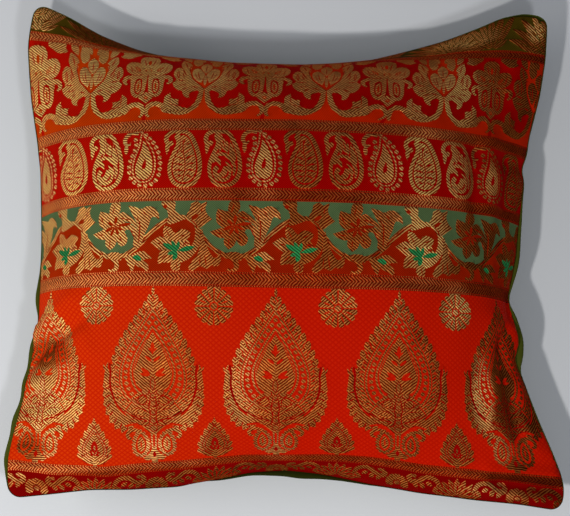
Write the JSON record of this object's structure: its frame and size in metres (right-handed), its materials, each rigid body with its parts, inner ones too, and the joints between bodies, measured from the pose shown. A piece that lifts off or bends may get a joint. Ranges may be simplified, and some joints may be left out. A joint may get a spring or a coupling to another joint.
{
  "type": "cushion cover",
  "caption": "Square filled cushion cover with a banded brocade front, a plain silk back, a drawn-in seam round the rim and pointed corners.",
  "frame": {"origin": "centre of the whole part's box at the level of the surface that it lies on", "axes": "+X to the right of the pattern, +Y up the pattern, +Z out of the patterned face"},
  "size_m": [0.4024, 0.379, 0.1051],
  "materials": {
    "brocade": "woven silk with gold thread, soft sheen",
    "green_silk": "plain woven silk, soft sheen"
  },
  "bodies": {
    "root": {"front_panel": "brocade", "back_panel": "green_silk"}
  },
  "joints": []
}
